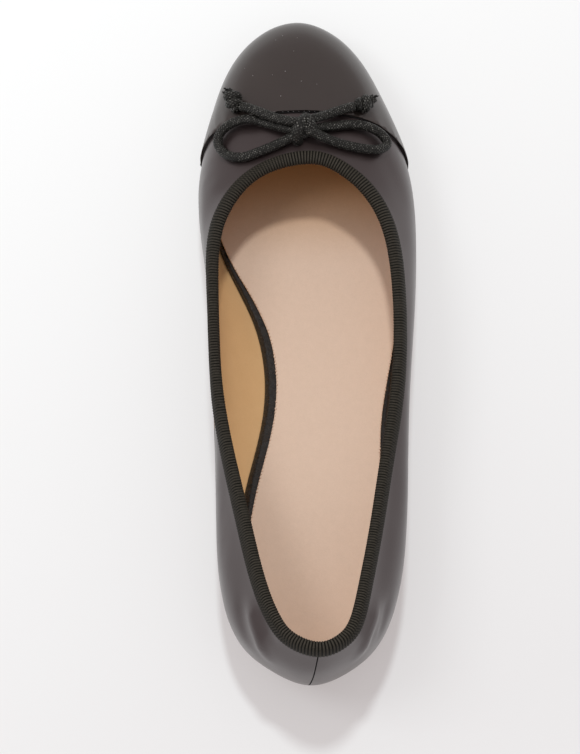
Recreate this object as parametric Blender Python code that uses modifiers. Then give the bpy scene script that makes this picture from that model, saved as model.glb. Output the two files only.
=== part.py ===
# Ballet flat, right shoe: thin leather upper, stitched toe cap, ribbed collar tape, flat sole and a cord bow
# X runs to the outer side of the foot, Y to the toe, Z up; metres; the ground is Z = 0
import math
from collections import namedtuple

import bmesh
import bpy
import numpy as np
from mathutils import Matrix

# Driving sizes of the shoe
UPPER_LENGTH = 0.2561
BALL_WIDTH = 0.0815
TOE_WIDTH = 0.0620
WAIST_WIDTH = 0.0740
HEEL_WIDTH = 0.0700
THROAT_HEIGHT = 0.0420
WAIST_HEIGHT = 0.0395
HEEL_BACK_HEIGHT = 0.0630

# Walls, tapes and layers
WALL = 0.0018
CAP_THICKNESS = 0.0009
TAPE_THICKNESS = 0.0008
TAPE_DEPTH = 0.0042
TAPE_DEPTH_THROAT = 0.0024
TAPE_NARROWS = (0.0300, 0.0640)
LASTING_MARGIN = 0.0070
FOOTBED_THICKNESS = 0.0032
FOOTBED_SIDE = 0.0018
FOOTBED_RIM = 0.0046
FOOTBED_RIM_FRONT = 0.0014
RIM_NARROWS_ARCH_SIDE = (0.0050, 0.0600)
RIM_NARROWS_OUTER_SIDE = (-0.0360, 0.0100)
SOCK_THICKNESS = 0.0009
DISH = 0.0010
CLEARANCE = 0.0003

# Sole and heel
SOLE_THICKNESS = 0.0035
SOLE_EDGE = 0.0010
SOLE_CHAMFER = 0.0007
HEEL_HEIGHT = 0.0100
HEEL_LENGTH = 0.0600
HEEL_TAPER = 0.0012
HEEL_BREAST_HOLLOW = 0.0025
TREAD_MIDDLE = 0.0440
TREAD_LENGTH = 0.0440
TOE_SPRING = 0.0068

# Toe cap seam, as a curve across the vamp seen from above
CAP_LENGTH = 0.0387
CAP_SEAM_MIDDLE = -0.0030
CAP_SEAM_HALF_WIDTH = 0.0390
CAP_SEAM_DROP = 0.0034
CAP_SEAM_POWER = 6.0
CAP_SEAM_RAKE = 0.40

# How finely the surfaces are cut
STEPS_PER_ROW = 3
CROSS_STEPS = 4
MERGE = 1e-6
SHARES_TO_WIDEST = (0.0, 0.33, 0.66)
SHARES_TO_TAPE = (0.0, 0.08, 0.18, 0.32, 0.50, 0.74, 1.0)

WIDTHS = {"toe": TOE_WIDTH, "ball": BALL_WIDTH, "waist": WAIST_WIDTH, "heel": HEEL_WIDTH}
HEIGHTS = {"throat": THROAT_HEIGHT, "waist": WAIST_HEIGHT, "heel": HEEL_BACK_HEIGHT}

# One row for each section of the last, from the heel's back along the arch side to the toe and back
# along the outer side. x is a share of half the named width, y of half the length, and the widest
# point's rise is a share of the way from the sole up to the collar. The collar's z is a share of the
# named height. turn says how flat the wall leaves the sole, and slope is the wall's angle in degrees
# at the collar.
Row = namedtuple(
    "Row",
    "place width side_x side_y rise feather_x feather_y turn height top_x top_y top_z slope",
)
ROWS = (
    Row(
        "heel back", "heel", 0.029, -1.005, 0.33, 0.023, -0.954, 0.55,
        "heel", 0.114, -0.946, 1.00, 76,
    ),
    Row(
        "heel back, arch side", "heel", -0.371, -0.965, 0.32, -0.280, -0.936, 0.55,
        "heel", -0.171, -0.920, 0.985, 75,
    ),
    Row(
        "heel quarter, arch side", "heel", -0.694, -0.893, 0.31, -0.514, -0.883, 0.55,
        "heel", -0.340, -0.868, 0.945, 73,
    ),
    Row(
        "heel side, arch side", "heel", -0.883, -0.778, 0.32, -0.648, -0.759, 0.55,
        "heel", -0.486, -0.774, 0.885, 72,
    ),
    Row(
        "heel breast, arch side", "heel", -0.969, -0.559, 0.36, -0.562, -0.547, 0.50,
        "heel", -0.676, -0.567, 0.765, 72,
    ),
    Row(
        "waist back, arch side", "waist", -0.930, -0.341, 0.52, -0.368, -0.349, 0.36,
        "waist", -0.822, -0.337, 1.075, 80,
    ),
    Row(
        "waist, arch side", "waist", -0.957, -0.107, 0.82, -0.268, -0.119, 0.32,
        "waist", -0.951, -0.095, 1.010, 88,
    ),
    Row(
        "waist front, arch side", "waist", -0.992, 0.104, 0.76, -0.425, 0.101, 0.36,
        "waist", -0.978, 0.132, 0.990, 84,
    ),
    Row(
        "ball back, arch side", "ball", -0.989, 0.331, 0.45, -0.752, 0.327, 0.50,
        "throat", -0.844, 0.320, 0.945, 66,
    ),
    Row(
        "ball, arch side", "ball", -1.010, 0.503, 0.34, -0.834, 0.499, 0.55,
        "throat", -0.702, 0.414, 0.965, 46,
    ),
    Row(
        "cap side, arch side", "toe", -1.139, 0.717, 0.24, -0.942, 0.694, 0.55,
        "throat", -0.639, 0.480, 0.985, 27,
    ),
    Row(
        "toe corner, arch side", "toe", -0.803, 0.903, 0.17, -0.665, 0.860, 0.55,
        "throat", -0.355, 0.512, 0.995, 19,
    ),
    Row(
        "toe tip", "toe", -0.148, 0.995, 0.15, -0.142, 0.944, 0.55,
        "throat", -0.058, 0.526, 1.00, 16,
    ),
    Row(
        "toe corner, outer side", "toe", 0.455, 0.926, 0.17, 0.329, 0.880, 0.55,
        "throat", 0.203, 0.520, 0.997, 19,
    ),
    Row(
        "cap side, outer side", "toe", 0.868, 0.769, 0.22, 0.697, 0.734, 0.55,
        "throat", 0.477, 0.484, 0.987, 27,
    ),
    Row(
        "ball, outer side", "ball", 0.938, 0.534, 0.32, 0.766, 0.511, 0.55,
        "throat", 0.584, 0.416, 0.966, 46,
    ),
    Row(
        "ball back, outer side", "ball", 0.999, 0.299, 0.38, 0.834, 0.299, 0.55,
        "throat", 0.764, 0.292, 0.945, 66,
    ),
    Row(
        "waist front, outer side", "waist", 1.068, 0.065, 0.56, 0.857, 0.065, 0.55,
        "waist", 0.926, 0.073, 0.985, 84,
    ),
    Row(
        "waist, outer side", "waist", 1.014, -0.169, 0.62, 0.787, -0.169, 0.55,
        "waist", 0.892, -0.165, 1.010, 86,
    ),
    Row(
        "waist back, outer side", "waist", 0.997, -0.372, 0.50, 0.737, -0.372, 0.55,
        "waist", 0.786, -0.368, 1.085, 86,
    ),
    Row(
        "heel breast, outer side", "heel", 1.026, -0.575, 0.40, 0.723, -0.567, 0.55,
        "heel", 0.715, -0.573, 0.770, 84,
    ),
    Row(
        "heel side, outer side", "heel", 0.906, -0.782, 0.33, 0.709, -0.761, 0.55,
        "heel", 0.576, -0.774, 0.885, 78,
    ),
    Row(
        "heel quarter, outer side", "heel", 0.711, -0.896, 0.31, 0.554, -0.885, 0.55,
        "heel", 0.483, -0.869, 0.945, 73,
    ),
    Row(
        "heel back, outer side", "heel", 0.394, -0.970, 0.32, 0.320, -0.938, 0.55,
        "heel", 0.340, -0.921, 0.985, 75,
    ),
)

# Bow: a round cord whose loops and ends lie on the vamp and the cap, by routes chosen by hand
CORD_DIAMETER = 0.0034
CORD_POINT_STEP = 2 * CORD_DIAMETER
BOW_ROUTES = {
    "bow_loop_arch_side": (
        (-0.0076, 0.0786, 0.0420),
        (-0.0122, 0.0802, 0.0402),
        (-0.0174, 0.0822, 0.0387),
        (-0.0228, 0.0833, 0.0384),
        (-0.0284, 0.0827, 0.0354),
        (-0.0326, 0.0799, 0.0334),
        (-0.0339, 0.0757, 0.0328),
        (-0.0318, 0.0713, 0.0354),
        (-0.0280, 0.0688, 0.0381),
        (-0.0234, 0.0684, 0.0399),
        (-0.0186, 0.0698, 0.0413),
        (-0.0134, 0.0718, 0.0418),
        (-0.0090, 0.0738, 0.0423),
        (-0.0068, 0.0749, 0.0427),
    ),
    "bow_loop_outer_side": (
        (0.0027, 0.0790, 0.0412),
        (0.0089, 0.0800, 0.0401),
        (0.0141, 0.0811, 0.0387),
        (0.0194, 0.0814, 0.0373),
        (0.0243, 0.0805, 0.0353),
        (0.0281, 0.0782, 0.0336),
        (0.0296, 0.0751, 0.0331),
        (0.0264, 0.0722, 0.0364),
        (0.0212, 0.0718, 0.0386),
        (0.0156, 0.0723, 0.0404),
        (0.0104, 0.0735, 0.0415),
        (0.0059, 0.0750, 0.0427),
        (0.0026, 0.0762, 0.0439),
    ),
    "bow_end_arch_side": (
        (-0.0066, 0.0806, 0.0452),
        (-0.0120, 0.0823, 0.0434),
        (-0.0173, 0.0849, 0.0416),
        (-0.0222, 0.0876, 0.0386),
        (-0.0250, 0.0888, 0.0368),
    ),
    "bow_end_outer_side": (
        (0.0031, 0.0824, 0.0436),
        (0.0058, 0.0837, 0.0417),
        (0.0096, 0.0855, 0.0400),
        (0.0140, 0.0875, 0.0386),
        (0.0171, 0.0886, 0.0374),
    ),
}
# Each lobe of a knot: its middle, its three half sizes and its turn about Z in degrees
Lobe = namedtuple("Lobe", "middle half_sizes turn")
BOW_KNOTS = {
    "bow_knot": (
        Lobe((-0.0023, 0.0786, 0.0427), (0.0041, 0.0042, 0.0031), 0),
        Lobe((-0.0036, 0.0780, 0.0440), (0.0022, 0.0042, 0.0024), 12),
        Lobe((-0.0006, 0.0808, 0.0440), (0.0024, 0.0022, 0.0021), 20),
    ),
    "end_knot_arch_side": (
        Lobe((-0.0286, 0.0928, 0.0343), (0.0030, 0.0035, 0.0031), 20),
        Lobe((-0.0279, 0.0898, 0.0351), (0.0026, 0.0018, 0.0026), 20),
    ),
    "end_knot_outer_side": (
        Lobe((0.0213, 0.0904, 0.0358), (0.0030, 0.0032, 0.0030), -20),
        Lobe((0.0204, 0.0882, 0.0364), (0.0018, 0.0026, 0.0026), -50),
    ),
}
LOBE_SIDES = 12
LOBE_RINGS = 8

LEATHER = {"color": (0.030, 0.027, 0.026), "roughness": 0.42}
RUBBER = {"color": (0.020, 0.020, 0.020), "roughness": 0.75}
TAPE = {"color": (0.024, 0.022, 0.020), "roughness": 0.85}
SOCK = {"color": (0.600, 0.450, 0.350), "roughness": 0.80}
CORD = {"color": (0.028, 0.028, 0.026), "roughness": 0.60}


def periodic_spline(knots, period, values):
    """A smooth closed curve through the values; returns a function of the distance along it."""
    count = len(knots)
    step = np.diff(np.append(knots, period))
    rows = np.zeros((count, count))
    right = np.zeros(values.shape)
    for i in range(count):
        before, after = (i - 1) % count, (i + 1) % count
        rows[i, before] += step[before]
        rows[i, i] += 2 * (step[before] + step[i])
        rows[i, after] += step[i]
        right[i] = 6 * ((values[after] - values[i]) / step[i] - (values[i] - values[before]) / step[before])
    bend = np.linalg.solve(rows, right)

    def at(distance):
        distance = np.mod(distance, period)
        i = np.searchsorted(knots, distance, side="right") - 1
        after = (i + 1) % count
        h = step[i][..., None]
        a = (distance - knots[i])[..., None]
        b = h - a
        curve = (bend[i] * b**3 + bend[after] * a**3) / (6 * h)
        line = (values[i] / h - bend[i] * h / 6) * b + (values[after] / h - bend[after] * h / 6) * a
        return curve + line

    return at


def bezier(a, b, c, d, t):
    t = t[..., None]
    s = 1 - t
    return a * s**3 + 3 * b * s**2 * t + 3 * c * s * t**2 + d * t**3


# Bottom line of the sole
BREAST_Y = -UPPER_LENGTH / 2 + HEEL_LENGTH
TREAD_BACK = TREAD_MIDDLE - TREAD_LENGTH / 2
TREAD_FRONT = TREAD_MIDDLE + TREAD_LENGTH / 2


def sole_under(y):
    """Height of the sole's underside: on the heel, down the arch, flat at the tread, up to the toe."""
    down = np.clip((y - BREAST_Y) / (TREAD_BACK - BREAST_Y), 0, 1)
    up = np.clip((y - TREAD_FRONT) / (UPPER_LENGTH / 2 - TREAD_FRONT), 0, None)
    return (HEEL_HEIGHT + CLEARANCE) * (1 - down**2 * (3 - 2 * down)) + TOE_SPRING * up**2


def seat(y):
    """Height at which the upper's turned-in edge lies on the sole."""
    return sole_under(y) + SOLE_THICKNESS + CLEARANCE


def read_rows():
    """The table's shares as real points: feather line, widest line and collar line."""
    half = UPPER_LENGTH / 2
    feather, side, top, form = [], [], [], []
    for row in ROWS:
        x = WIDTHS[row.width] / 2
        low = seat(np.float64(row.feather_y * half))
        high = HEIGHTS[row.height] * row.top_z
        feather.append((row.feather_x * x, row.feather_y * half))
        side.append((row.side_x * x, row.side_y * half, low + row.rise * (high - low)))
        top.append((row.top_x * x, row.top_y * half, high))
        form.append((row.turn, math.radians(row.slope)))
    return (np.array(list_of_points) for list_of_points in (feather, side, top, form))


FEATHER_POINTS, SIDE_POINTS, TOP_POINTS, FORM_POINTS = read_rows()
GIRTH_STEPS = np.linalg.norm(np.roll(SIDE_POINTS, -1, axis=0) - SIDE_POINTS, axis=1)
GIRTH = float(GIRTH_STEPS.sum())
KNOTS = np.concatenate([[0.0], np.cumsum(GIRTH_STEPS)[:-1]])
FEATHER = periodic_spline(KNOTS, GIRTH, FEATHER_POINTS)
SIDE = periodic_spline(KNOTS, GIRTH, SIDE_POINTS)
TOP = periodic_spline(KNOTS, GIRTH, TOP_POINTS)
FORM = periodic_spline(KNOTS, GIRTH, FORM_POINTS)

# Along a section: 0 to 1 is the turned-in margin, 1 to 2 the wall below its widest line, 2 to 3 above
MARGIN_END, FEATHER_LINE, WIDEST_LINE, COLLAR_LINE = 0.0, 1.0, 2.0, 3.0


def outward(around):
    """Level direction out of the shoe, from the feather line to the widest line."""
    way = SIDE(around)[..., :2] - FEATHER(around)
    way = way / np.linalg.norm(way, axis=-1, keepdims=True)
    return np.concatenate([way, np.zeros(way.shape[:-1] + (1,))], axis=-1)


def skin(around, along):
    """Outer face of the upper."""
    out = outward(around)
    lift = np.array([0.0, 0.0, 1.0])
    flat = FEATHER(around)
    feather = np.concatenate([flat, seat(flat[..., 1:2])], axis=-1)
    margin = feather - out * LASTING_MARGIN
    margin[..., 2] = seat(margin[..., 1])
    side, top, form = SIDE(around), TOP(around), FORM(around)
    turn, slope = form[..., 0:1], form[..., 1:2]
    reach = np.linalg.norm((side - feather)[..., :2], axis=-1, keepdims=True)
    below = side[..., 2:3] - feather[..., 2:3]
    above = top[..., 2:3] - side[..., 2:3]
    span = np.linalg.norm(top - side, axis=-1, keepdims=True)
    crown = top + 0.36 * span * (out * np.cos(slope) - lift * np.sin(slope))
    under = margin + (feather - margin) * np.clip(along, 0, 1)[..., None]
    lower = bezier(
        feather, feather + out * turn * reach, side - lift * 0.55 * below, side, np.clip(along - 1, 0, 1)
    )
    upper = bezier(side, side + lift * 0.54 * above, crown, top, np.clip(along - 2, 0, 1))
    along = along[..., None]
    return np.where(along < 1, under, np.where(along < 2, lower, upper))


def offset_skin(around, along, distance):
    """The upper's outer face moved out by a distance, or in by a negative one."""
    step, nudge = 2e-4, 2e-3
    low = np.clip(along - nudge, MARGIN_END, COLLAR_LINE)
    high = np.clip(along + nudge, MARGIN_END, COLLAR_LINE)
    up = skin(around, high) - skin(around, low)
    forward = skin(around + step, along) - skin(around - step, along)
    normal = np.cross(up, forward)
    normal /= np.linalg.norm(normal, axis=-1, keepdims=True)
    return skin(around, along) + normal * np.asarray(distance)[..., None], normal


def stations():
    """Places around the shoe where the surfaces have their points."""
    ends = np.append(KNOTS, GIRTH)
    return np.concatenate(
        [np.linspace(a, b, STEPS_PER_ROW, endpoint=False) for a, b in zip(ends[:-1], ends[1:])]
    )


AROUND = stations()


def new_object(name, mesh, material):
    finish = bpy.data.materials.new(name + "_material")
    finish.use_nodes = True
    shader = finish.node_tree.nodes["Principled BSDF"]
    shader.inputs["Base Color"].default_value = (*material["color"], 1.0)
    shader.inputs["Roughness"].default_value = material["roughness"]
    shader.inputs["Metallic"].default_value = 0.0
    finish.diffuse_color = (*material["color"], 1.0)
    mesh.materials.append(finish)
    result = bpy.data.objects.new(name, mesh)
    PARTS.objects.link(result)
    return result


def sheet_mesh(name, grid, closed):
    """A surface from rows of points, with its faces outwards; closed joins the last row to the first."""
    rows, columns = grid.shape[:2]
    shape = bmesh.new()
    points = [[shape.verts.new(p) for p in row] for row in grid]
    for i in range(rows if closed else rows - 1):
        here, after = points[i], points[(i + 1) % rows]
        for j in range(columns - 1):
            shape.faces.new((here[j], here[j + 1], after[j + 1], after[j]))
    bmesh.ops.remove_doubles(shape, verts=shape.verts, dist=MERGE)
    mesh = bpy.data.meshes.new(name)
    shape.to_mesh(mesh)
    shape.free()
    mesh.shade_smooth()
    return mesh


def thicken(obj, thickness):
    wall = obj.modifiers.new("wall", "SOLIDIFY")
    wall.thickness = thickness
    wall.offset = -1.0
    return obj


def plate_mesh(name, rings, low_face, high_face):
    """A closed plate from rings stacked bottom to top. Lines across the shoe span its two faces, and
    low_face and high_face give the height of a point on them from its place and its share across."""
    count = len(rings[0])
    half = count // 2
    shape = bmesh.new()
    stack = [[shape.verts.new(p) for p in ring] for ring in rings]
    for low, high in zip(stack[:-1], stack[1:]):
        for i in range(count):
            after = (i + 1) % count
            shape.faces.new((low[i], high[i], high[after], low[after]))
    for ring, height in ((stack[0], low_face), (stack[-1], high_face)):
        lines = []
        for i in range(1, half):
            a, b = ring[i], ring[count - i]
            line = [a]
            for k in range(1, CROSS_STEPS):
                share = k / CROSS_STEPS
                point = a.co.lerp(b.co, share)
                point.z = height(point, share)
                line.append(shape.verts.new(point))
            lines.append(line + [b])
        for back, front in zip(lines[:-1], lines[1:]):
            for k in range(CROSS_STEPS):
                shape.faces.new((back[k], back[k + 1], front[k + 1], front[k]))
        for line, tip in ((lines[0], ring[0]), (lines[-1], ring[half])):
            for k in range(CROSS_STEPS):
                shape.faces.new((line[k], line[k + 1], tip))
    bmesh.ops.recalc_face_normals(shape, faces=shape.faces)
    mesh = bpy.data.meshes.new(name)
    shape.to_mesh(mesh)
    shape.free()
    mesh.shade_smooth()
    mesh.set_sharp_from_angle(angle=math.radians(45))
    return mesh


def dished(point, share):
    """Height of a face that is hollowed a little across the shoe."""
    return point.z - DISH * 4 * share * (1 - share)


def bisect(inside, low, high, rounds=40):
    """The places between low and high where inside() turns false."""
    for _ in range(rounds):
        middle = (low + high) / 2
        kept = inside(middle)
        low = np.where(kept, middle, low)
        high = np.where(kept, high, middle)
    return (low + high) / 2


def footbed_edge(around):
    """Place on each section where the footbed's side meets the wall's inner face."""
    depth = -WALL - CLEARANCE
    feather = np.full(around.shape, FEATHER_LINE)
    goal = offset_skin(around, feather, depth)[0][:, 2] + FOOTBED_SIDE

    def below(along):
        return offset_skin(around, along, depth)[0][:, 2] < goal

    return bisect(below, feather, np.full(around.shape, WIDEST_LINE))


def tape_edge(around):
    """Place on each section where the tape ends, measured down the wall from the collar line."""
    along = np.linspace(COLLAR_LINE, WIDEST_LINE, 60)
    points = skin(around[:, None], np.broadcast_to(along, (len(around), len(along))))
    lengths = np.linalg.norm(np.diff(points, axis=1), axis=2).cumsum(axis=1)
    depths = np.interp(points[:, 0, 1], TAPE_NARROWS, (TAPE_DEPTH, TAPE_DEPTH_THROAT))
    rows = zip(depths, lengths)
    return np.array([np.interp(depth, np.append(0.0, row), along) for depth, row in rows])


def wall_lines(around):
    """Places along each section where the wall has its points, two of them at the footbed and the tape."""
    edge = footbed_edge(around)[:, None]
    start = np.full(edge.shape, MARGIN_END)
    feather = np.full(edge.shape, FEATHER_LINE)
    lower = edge + (WIDEST_LINE - edge) * np.array(SHARES_TO_WIDEST)
    upper = WIDEST_LINE + (tape_edge(around)[:, None] - WIDEST_LINE) * np.array(SHARES_TO_TAPE)
    collar = np.full(edge.shape, COLLAR_LINE)
    return np.hstack([start, feather, (feather + edge) / 2, lower, upper, collar])


def make_upper():
    """Hollow leather upper: one wall from the turned-in margin to the collar, open above and below."""
    grid = skin(AROUND[:, None], wall_lines(AROUND))
    return thicken(new_object("upper", sheet_mesh("upper", grid, closed=True), LEATHER), WALL)


def cap_start(around):
    """Place on each section where the cap's lower edge clears the sole."""
    outer = CLEARANCE + CAP_THICKNESS

    def on_sole(along):
        p = offset_skin(around, along, outer)[0]
        return p[..., 2] < seat(p[..., 1]) + CLEARANCE

    return bisect(on_sole, np.full(around.shape, FEATHER_LINE), np.full(around.shape, WIDEST_LINE))


def cap_cutter():
    """Block ahead of the cap's seam: the seam curve across the vamp, raked back towards the sole."""
    front = UPPER_LENGTH / 2
    side = 1.4 * CAP_SEAM_HALF_WIDTH
    high, low = THROAT_HEIGHT + WALL, -SOLE_THICKNESS
    seam = []
    for x in np.linspace(-side, side, 25):
        drop = CAP_SEAM_DROP * (abs(x) / CAP_SEAM_HALF_WIDTH) ** CAP_SEAM_POWER
        seam.append((CAP_SEAM_MIDDLE + x, front - CAP_LENGTH - drop))
    outline = seam + [(side, 2 * front), (-side, 2 * front)]
    shape = bmesh.new()
    top = shape.faces.new([shape.verts.new((x, y, high)) for x, y in outline])
    made = bmesh.ops.extrude_face_region(shape, geom=[top])["geom"]
    foot = [v for v in made if isinstance(v, bmesh.types.BMVert)]
    fall = (0.0, CAP_SEAM_RAKE * (low - high), low - high)
    bmesh.ops.translate(shape, verts=foot, vec=fall)
    bmesh.ops.recalc_face_normals(shape, faces=shape.faces)
    mesh = bpy.data.meshes.new("cap_cutter")
    shape.to_mesh(mesh)
    shape.free()
    cutter = bpy.data.objects.new("cap_cutter", mesh)
    CUTTERS.objects.link(cutter)
    cutter.display_type = "WIRE"
    cutter.hide_render = True
    return cutter


def make_toe_cap():
    """Leather cap laid over the toe, from just above the sole up to its seam across the vamp."""
    tip = len(ROWS) // 2
    around = AROUND[(AROUND > KNOTS[tip - 4]) & (AROUND < KNOTS[tip + 4])]
    lines = wall_lines(around)[:, :-1]
    along = np.maximum(lines, cap_start(around)[:, None])
    outer = offset_skin(around[:, None], along, CLEARANCE + CAP_THICKNESS)[0]
    cap = thicken(new_object("toe_cap", sheet_mesh("toe_cap", outer, closed=False), LEATHER), CAP_THICKNESS)
    seam = cap.modifiers.new("seam", "BOOLEAN")
    seam.operation = "INTERSECT"
    seam.object = cap_cutter()
    return cap


def make_collar_tape():
    """Woven tape folded over the collar's edge, outside and inside."""
    outer = CLEARANCE + TAPE_THICKNESS
    radius = WALL / 2 + outer
    low = tape_edge(AROUND)
    high = np.full(AROUND.shape, COLLAR_LINE)
    edge, normal = offset_skin(AROUND, high, -WALL / 2)
    rise = skin(AROUND, high) - skin(AROUND, high - 0.02)
    rise /= np.linalg.norm(rise, axis=1, keepdims=True)
    fold = [edge + radius * (normal * math.cos(a) + rise * math.sin(a)) for a in np.linspace(0, math.pi, 4)]
    outside = offset_skin(AROUND, low, outer)[0]
    inside = offset_skin(AROUND, low, -WALL - outer)[0]
    mesh = sheet_mesh("collar_tape", np.stack([outside, *fold, inside], axis=1), closed=True)
    return thicken(new_object("collar_tape", mesh, TAPE), TAPE_THICKNESS)


def sole_ring(inset, height):
    """The sole's outline, drawn in by an inset and lifted above its underside by a height."""
    out = outward(AROUND)
    ring = out * (SOLE_EDGE - inset)
    ring[:, :2] += FEATHER(AROUND)
    ring[:, 2] = sole_under(ring[:, 1]) + height
    return ring


def make_outsole():
    """Thin sole from heel to toe, with its arch, flat tread and toe spring."""
    rings = [
        sole_ring(SOLE_CHAMFER, 0.0),
        sole_ring(0.0, SOLE_CHAMFER),
        sole_ring(0.0, SOLE_THICKNESS),
    ]
    def under(point, share):
        return sole_under(point.y)

    def over(point, share):
        return sole_under(point.y) + SOLE_THICKNESS

    return new_object("outsole", plate_mesh("outsole", rings, under, over), RUBBER)


def make_heel():
    """Low block under the heel: the sole's outline back of the breast, slightly drawn in at the ground."""
    ring = sole_ring(SOLE_CHAMFER, 0.0)[:, :2]
    half = len(ring) // 2
    sides = []
    for side in (ring[:half], np.roll(ring[::-1], 1, axis=0)[:half]):
        behind = side[side[:, 1] < BREAST_Y - 0.002]
        x = np.interp(BREAST_Y, side[:, 1], side[:, 0])
        sides.append(np.vstack([behind, [x, BREAST_Y]]))
    arch_side, outer_side = sides
    left, right = arch_side[-1, 0], outer_side[-1, 0]
    breast = [
        (left + (right - left) * share, BREAST_Y - HEEL_BREAST_HOLLOW * 4 * share * (1 - share))
        for share in (0.2, 0.4, 0.6, 0.8)
    ]
    outline = [*arch_side, *breast, *outer_side[:0:-1]]
    shape = bmesh.new()
    top = shape.faces.new([shape.verts.new((x, y, HEEL_HEIGHT)) for x, y in outline])
    made = bmesh.ops.extrude_face_region(shape, geom=[top])["geom"]
    foot = [v for v in made if isinstance(v, bmesh.types.BMVert)]
    centre = sum((v.co for v in foot), foot[0].co * 0) / len(foot)
    for vert in foot:
        inward = (centre - vert.co).normalized() * HEEL_TAPER
        vert.co.x += inward.x
        vert.co.y += inward.y
        vert.co.z = 0.0
    bmesh.ops.recalc_face_normals(shape, faces=shape.faces)
    mesh = bpy.data.meshes.new("heel")
    shape.to_mesh(mesh)
    shape.free()
    mesh.shade_smooth()
    mesh.set_sharp_from_angle(angle=math.radians(40))
    return new_object("heel", mesh, RUBBER)


def rim_width(x, y):
    """Width of the footbed's rim, which narrows from the waist towards the toe, sooner on the outer side."""
    start = np.where(x < 0, RIM_NARROWS_ARCH_SIDE[0], RIM_NARROWS_OUTER_SIDE[0])
    stop = np.where(x < 0, RIM_NARROWS_ARCH_SIDE[1], RIM_NARROWS_OUTER_SIDE[1])
    share = np.clip((y - start) / (stop - start), 0, 1)
    return FOOTBED_RIM + (FOOTBED_RIM_FRONT - FOOTBED_RIM) * share**2 * (3 - 2 * share)


def footbed_rings():
    """Rings of the footbed: its well on the sole, over the margin, out to the wall and round its rim."""
    out = outward(AROUND)
    depth = WALL + CLEARANCE
    well = skin(AROUND, np.full(len(AROUND), MARGIN_END)) - out * 1.5 * CLEARANCE
    well[:, 2] = seat(well[:, 1])
    shelf = well.copy()
    shelf[:, 2] += depth
    foot, side, edge = (offset_skin(AROUND, line, -depth)[0] for line in wall_lines(AROUND).T[1:4])
    rim = rim_width(edge[:, 0], edge[:, 1])[:, None]
    roll = edge - out * 0.3 * rim
    roll[:, 2] = foot[:, 2] + 0.9 * FOOTBED_THICKNESS
    top = edge - out * rim
    top[:, 2] = foot[:, 2] + FOOTBED_THICKNESS
    return [well, shelf, foot, side, edge, roll, top]


def make_footbed():
    """Padded footbed with its wrapped rim, filling the well between the upper's turned-in edges."""

    def in_well(point, share):
        return seat(point.y)

    return new_object("footbed", plate_mesh("footbed", footbed_rings(), in_well, dished), LEATHER)


def make_sock():
    """Thin sock lining on the footbed, inside its rim."""
    lift = np.array([0.0, 0.0, CLEARANCE])
    low = footbed_rings()[-1] + lift
    high = low + np.array([0.0, 0.0, SOCK_THICKNESS])
    return new_object("sock", plate_mesh("sock", [low, high], dished, dished), SOCK)


def smooth_route(points):
    """Points at even steps along a smooth curve through a route's own points."""
    points = np.array(points)
    padded = np.vstack([2 * points[0] - points[1], points, 2 * points[-1] - points[-2]])
    share = np.linspace(0, 1, 12, endpoint=False)[:, None]
    curve = []
    for a, b, c, d in zip(padded[:-3], padded[1:-2], padded[2:-1], padded[3:]):
        curve.append(
            b
            + share * (c - a) / 2
            + share**2 * (a - 2.5 * b + 2 * c - d / 2)
            + share**3 * ((d - a) / 2 + 1.5 * (b - c))
        )
    curve = np.vstack(curve + [points[-1:]])
    length = np.concatenate([[0.0], np.linalg.norm(np.diff(curve, axis=0), axis=1).cumsum()])
    places = np.linspace(0, length[-1], 1 + math.ceil(length[-1] / CORD_POINT_STEP))
    return np.stack([np.interp(places, length, curve[:, k]) for k in range(3)], axis=1)


def make_cord(name, points):
    """One loop or end of the bow, as a round cord along its route."""
    route = smooth_route(points)
    data = bpy.data.curves.new(name, "CURVE")
    data.dimensions = "3D"
    data.bevel_depth = CORD_DIAMETER / 2
    data.bevel_resolution = 2
    data.use_fill_caps = True
    spline = data.splines.new("POLY")
    spline.points.add(len(route) - 1)
    for point, place in zip(spline.points, route):
        point.co = (*place, 1.0)
    return new_object(name, data, CORD)


def lobe_mesh(name, lobe):
    shape = bmesh.new()
    bmesh.ops.create_uvsphere(shape, u_segments=LOBE_SIDES, v_segments=LOBE_RINGS, radius=1.0)
    place = (
        Matrix.Translation(lobe.middle)
        @ Matrix.Rotation(math.radians(lobe.turn), 4, "Z")
        @ Matrix.Diagonal((*lobe.half_sizes, 1.0))
    )
    bmesh.ops.transform(shape, matrix=place, verts=shape.verts)
    mesh = bpy.data.meshes.new(name)
    shape.to_mesh(mesh)
    shape.free()
    mesh.shade_smooth()
    return mesh


def make_knot(name, lobes):
    """A tight knot of the cord: overlapping lobes joined into one body."""
    knot = new_object(name, lobe_mesh(name, lobes[0]), CORD)
    for number, lobe in enumerate(lobes[1:], start=1):
        helper = bpy.data.objects.new(f"{name}_lobe_{number}", lobe_mesh(name, lobe))
        CUTTERS.objects.link(helper)
        helper.display_type = "WIRE"
        helper.hide_render = True
        join = knot.modifiers.new(f"lobe_{number}", "BOOLEAN")
        join.operation = "UNION"
        join.object = helper
    return knot


def clear_scene():
    for old in list(bpy.data.objects):
        bpy.data.objects.remove(old, do_unlink=True)


clear_scene()
PARTS = bpy.data.collections.new("ballet_flat")
CUTTERS = bpy.data.collections.new("cutters")
CUTTERS.hide_render = True
for group in (PARTS, CUTTERS):
    bpy.context.scene.collection.children.link(group)
make_upper()
make_toe_cap()
make_collar_tape()
make_outsole()
make_heel()
make_footbed()
make_sock()
for cord_name, cord_points in BOW_ROUTES.items():
    make_cord(cord_name, cord_points)
for knot_name, knot_lobes in BOW_KNOTS.items():
    make_knot(knot_name, knot_lobes)
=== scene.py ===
import math

import bmesh
import bpy
import numpy as np
from mathutils import Matrix, Vector
from mathutils.bvhtree import BVHTree
from mathutils.kdtree import KDTree


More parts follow.
